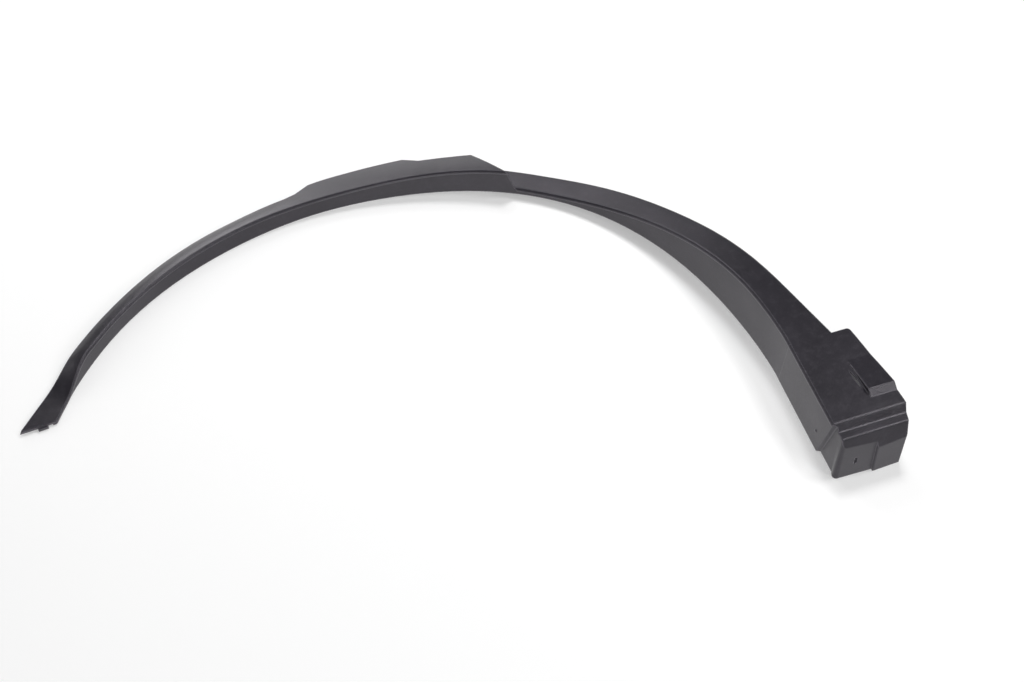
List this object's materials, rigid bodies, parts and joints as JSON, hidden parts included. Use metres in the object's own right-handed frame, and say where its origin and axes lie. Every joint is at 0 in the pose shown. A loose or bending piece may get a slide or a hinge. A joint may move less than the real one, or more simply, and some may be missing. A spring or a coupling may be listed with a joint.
{
  "type": "wheel arch trim",
  "caption": "Wheel arch trim: a slim rolled strip that steps into a broad flat band and ends in a stepped block, open at the back, clipped round the edge of a car's wheel opening.",
  "frame": {"origin": "on the wheel axis, at the table under the lip's edge", "axes": "+X fore and aft towards the end block, +Y up the car, +Z outboard along the wheel axis"},
  "size_m": [0.8279, 0.5619, 0.0634],
  "materials": {
    "moulding": "fine grained, unpainted"
  },
  "bodies": {
    "root": {"arch_trim": "moulding"}
  },
  "joints": []
}
